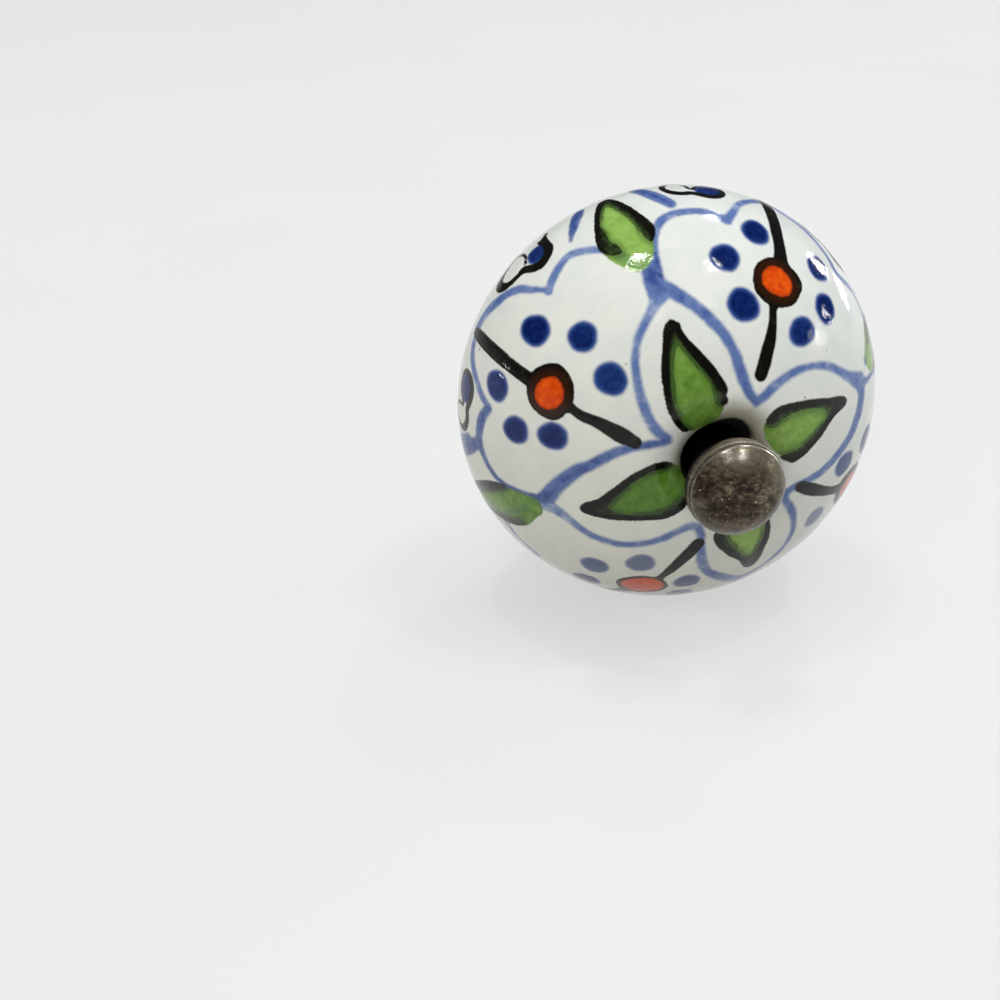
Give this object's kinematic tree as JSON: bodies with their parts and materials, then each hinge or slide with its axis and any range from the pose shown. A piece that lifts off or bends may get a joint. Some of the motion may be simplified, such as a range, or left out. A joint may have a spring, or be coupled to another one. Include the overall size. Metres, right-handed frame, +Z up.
{
  "type": "cabinet knob",
  "caption": "Round glazed ceramic cabinet knob with a painted flower pattern, a dark metal ball at its centre and a threaded shank behind its foot.",
  "frame": {"origin": "on the bolt's axis, in the plane of the foot that presses on the drawer front", "axes": "+Y along the bolt into the drawer front, +Z up, the painted face looks towards -Y"},
  "size_m": [0.04, 0.0605, 0.04],
  "materials": {
    "painted_glaze": "glossy white glaze with a hand-painted flower ornament in blue, green, orange and black, and a dry clay foot",
    "aged_metal": "dark mottled aged surface, worn shiny on the ball",
    "plated_steel": "dull zinc plating"
  },
  "bodies": {
    "root": {"ceramic_body": "painted_glaze", "ball_head_bolt": "aged_metal", "washer": "plated_steel", "hex_nut": "plated_steel"}
  },
  "joints": []
}
